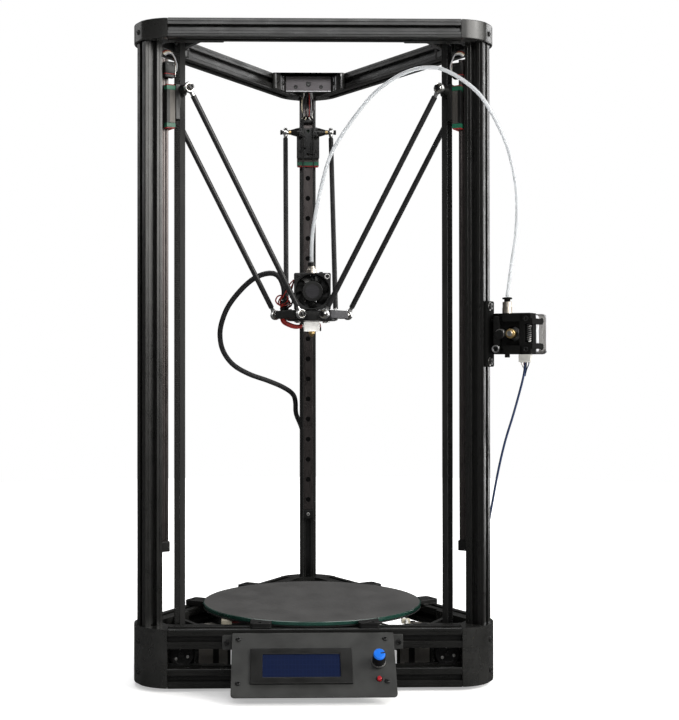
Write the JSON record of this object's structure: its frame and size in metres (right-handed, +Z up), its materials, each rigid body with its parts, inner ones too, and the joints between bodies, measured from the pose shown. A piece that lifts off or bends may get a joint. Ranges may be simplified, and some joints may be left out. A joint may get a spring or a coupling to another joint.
{
  "type": "delta 3d printer",
  "caption": "Upright triangular frame of slotted columns and beams with a round bed, a rod-hung print head, belt-driven carriages, a side filament drive and a tilted control panel.",
  "frame": {"origin": "middle of the footprint (bounding box without the tube and wires) at table level; the machine axis is at x = -29.0 mm, y = -15.4 mm", "axes": "+Z up along the columns, -Y towards the user (control panel side), +X to the right (filament drive side)"},
  "size_m": [0.4324, 0.3956, 0.684],
  "materials": {
    "anodised": "black anodised, satin",
    "bracket": "moulded, fine grain",
    "rail_steel": "dark oiled steel",
    "carriage_metal": "black, satin",
    "belt_rubber": "matt, toothed inside",
    "black_metal": "black, satin",
    "alloy": "machined",
    "carbon_rod": "carbon tube, satin",
    "head_metal": "dark anodised",
    "black_plastic": "moulded",
    "build_plate": "dark coated glass, matt",
    "heater_board": "board with moulded holders",
    "supply_case": "perforated sheet",
    "motor_steel": "turned end bells",
    "brass": "machined",
    "panel_metal": "powder coated",
    "knob_blue": "black skirt, blue cap",
    "shaft_steel": "turned",
    "button_red": "moulded",
    "clear_tube": "translucent fluoropolymer",
    "loom_sleeve": "braided sleeve",
    "lead_wire": "four thin insulated wires"
  },
  "bodies": {
    "frame": {"column_a": "anodised", "top_corner_a": "bracket", "base_corner_a": "bracket", "rail_a": "rail_steel", "belt_a": "belt_rubber", "motor_a": "black_metal", "column_b": "anodised", "top_corner_b": "bracket", "base_corner_b": "bracket", "rail_b": "rail_steel", "belt_b": "belt_rubber", "motor_b": "black_metal", "column_c": "anodised", "top_corner_c": "bracket", "base_corner_c": "bracket", "rail_c": "rail_steel", "belt_c": "belt_rubber", "motor_c": "black_metal", "top_beam_front": "anodised", "base_beam_upper_front": "anodised", "base_beam_lower_front": "anodised", "top_beam_right": "anodised", "base_beam_upper_right": "anodised", "base_beam_lower_right": "anodised", "top_beam_left": "anodised", "base_beam_upper_left": "anodised", "base_beam_lower_left": "anodised", "bed_glass": "build_plate", "bed_heater": "heater_board", "power_supply": "supply_case", "extruder_body": "black_metal", "extruder_motor": "motor_steel", "control_panel": "panel_metal", "bowden_tube": "clear_tube", "wire_loom": "loom_sleeve", "extruder_lead": "lead_wire"},
    "head": {"effector": "head_metal", "hotend": "alloy", "fan_frame": "black_plastic"},
    "carriage_a": {"carriage_a": "carriage_metal"},
    "carriage_b": {"carriage_b": "carriage_metal"},
    "carriage_c": {"carriage_c": "carriage_metal"},
    "rod_a_left": {"rod_a_left": "carbon_rod"},
    "rod_a_right": {"rod_a_right": "carbon_rod"},
    "rod_b_left": {"rod_b_left": "carbon_rod"},
    "rod_b_right": {"rod_b_right": "carbon_rod"},
    "rod_c_left": {"rod_c_left": "carbon_rod"},
    "rod_c_right": {"rod_c_right": "carbon_rod"},
    "drive_pulley_a": {"drive_pulley_a": "alloy"},
    "idler_pulley_a": {"idler_pulley_a": "alloy"},
    "drive_pulley_b": {"drive_pulley_b": "alloy"},
    "idler_pulley_b": {"idler_pulley_b": "alloy"},
    "drive_pulley_c": {"drive_pulley_c": "alloy"},
    "idler_pulley_c": {"idler_pulley_c": "alloy"},
    "fan_rotor": {"fan_rotor": "black_plastic"},
    "extruder_lever": {"extruder_lever": "black_metal"},
    "drive_gear": {"drive_gear": "brass"},
    "encoder_shaft": {"encoder_shaft": "shaft_steel"},
    "knob": {"knob": "knob_blue"},
    "reset_button": {"reset_button": "button_red"}
  },
  "joints": [
    {"name": "head_lift", "type": "slide", "parent": "frame", "child": "head", "axis": [0, 0, 1], "range_m": [-0.289, 0.006], "deforming": ["bowden_tube", "wire_loom"]},
    {"name": "carriage_a_slide", "type": "slide", "parent": "frame", "child": "carriage_a", "axis": [0, 0, 1], "range_m": [-0.289, 0.006]},
    {"name": "carriage_b_slide", "type": "slide", "parent": "frame", "child": "carriage_b", "axis": [0, 0, 1], "range_m": [-0.289, 0.006]},
    {"name": "carriage_c_slide", "type": "slide", "parent": "frame", "child": "carriage_c", "axis": [0, 0, 1], "range_m": [-0.289, 0.006]},
    {"name": "drive_pulley_a_spin", "type": "hinge", "parent": "frame", "child": "drive_pulley_a", "pos_m": [-0.16931, -0.09639, 0.034], "axis": [-0.866, -0.5, 0], "continuous": true},
    {"name": "idler_pulley_a_spin", "type": "hinge", "parent": "frame", "child": "idler_pulley_a", "pos_m": [-0.16931, -0.09639, 0.6736], "axis": [-0.866, -0.5, 0], "continuous": true},
    {"name": "drive_pulley_b_spin", "type": "hinge", "parent": "frame", "child": "drive_pulley_b", "pos_m": [0.11129, -0.09639, 0.034], "axis": [0.866, -0.5, 0], "continuous": true},
    {"name": "idler_pulley_b_spin", "type": "hinge", "parent": "frame", "child": "idler_pulley_b", "pos_m": [0.11129, -0.09639, 0.6736], "axis": [0.866, -0.5, 0], "continuous": true},
    {"name": "drive_pulley_c_spin", "type": "hinge", "parent": "frame", "child": "drive_pulley_c", "pos_m": [-0.02901, 0.14661, 0.034], "axis": [0, 1, 0], "continuous": true},
    {"name": "idler_pulley_c_spin", "type": "hinge", "parent": "frame", "child": "idler_pulley_c", "pos_m": [-0.02901, 0.14661, 0.6736], "axis": [0, 1, 0], "continuous": true},
    {"name": "rod_a_left_roll", "type": "hinge", "parent": "carriage_a", "child": "rod_a_left", "pos_m": [-0.1579, -0.12214, 0.6166], "axis": [0.4359, 0.2517, -0.8641], "range_deg": [-8, 8]},
    {"name": "rod_a_right_roll", "type": "hinge", "parent": "carriage_a", "child": "rod_a_right", "pos_m": [-0.1859, -0.07364, 0.6166], "axis": [0.4359, 0.2517, -0.8641], "range_deg": [-8, 8]},
    {"name": "rod_b_left_roll", "type": "hinge", "parent": "carriage_b", "child": "rod_b_left", "pos_m": [0.12788, -0.07364, 0.6166], "axis": [-0.4359, 0.2517, -0.8641], "range_deg": [-8, 8]},
    {"name": "rod_b_right_roll", "type": "hinge", "parent": "carriage_b", "child": "rod_b_right", "pos_m": [0.09988, -0.12214, 0.6166], "axis": [-0.4359, 0.2517, -0.8641], "range_deg": [-8, 8]},
    {"name": "rod_c_left_roll", "type": "hinge", "parent": "carriage_c", "child": "rod_c_left", "pos_m": [-0.05701, 0.14961, 0.6166], "axis": [0, -0.5034, -0.8641], "range_deg": [-8, 8]},
    {"name": "rod_c_right_roll", "type": "hinge", "parent": "carriage_c", "child": "rod_c_right", "pos_m": [-0.00101, 0.14961, 0.6166], "axis": [0, -0.5034, -0.8641], "range_deg": [-8, 8]},
    {"name": "fan_spin", "type": "hinge", "parent": "head", "child": "fan_rotor", "pos_m": [-0.02901, -0.04019, 0.4107], "axis": [0, -1, 0], "continuous": true},
    {"name": "filament_gear_spin", "type": "hinge", "parent": "frame", "child": "drive_gear", "pos_m": [0.17321, -0.13214, 0.363], "axis": [-0.5, -0.866, 0], "continuous": true},
    {"name": "filament_lever_release", "type": "hinge", "parent": "frame", "child": "extruder_lever", "pos_m": [0.15892, -0.12389, 0.3474], "axis": [-0.5, -0.866, 0], "range_deg": [0, 6], "stiffness_Nm_per_rad": 2, "springref_deg": -8.59},
    {"name": "knob_press", "type": "slide", "parent": "frame", "child": "encoder_shaft", "axis": [0, 0.7071, -0.7071], "range_m": [0, 0.0005], "stiffness_N_per_m": 1500, "springref_m": -0.0005},
    {"name": "knob_turn", "type": "hinge", "parent": "encoder_shaft", "child": "knob", "pos_m": [0.03299, -0.17369, 0.04111], "axis": [0, -0.7071, 0.7071], "continuous": true},
    {"name": "reset_press", "type": "slide", "parent": "frame", "child": "reset_button", "axis": [0, 0.7071, -0.7071], "range_m": [0, 0.0005], "stiffness_N_per_m": 1200, "springref_m": -0.0005}
  ],
  "couplings": [
    {"joint": "carriage_a_slide", "follows": "head_lift", "ratio": 1},
    {"joint": "carriage_b_slide", "follows": "head_lift", "ratio": 1},
    {"joint": "carriage_c_slide", "follows": "head_lift", "ratio": 1},
    {"joint": "drive_pulley_a_spin", "follows": "head_lift", "rad_per_m": -157.08},
    {"joint": "idler_pulley_a_spin", "follows": "head_lift", "rad_per_m": -157.08},
    {"joint": "drive_pulley_b_spin", "follows": "head_lift", "rad_per_m": -157.08},
    {"joint": "idler_pulley_b_spin", "follows": "head_lift", "rad_per_m": -157.08},
    {"joint": "drive_pulley_c_spin", "follows": "head_lift", "rad_per_m": -157.08},
    {"joint": "idler_pulley_c_spin", "follows": "head_lift", "rad_per_m": -157.08}
  ]
}
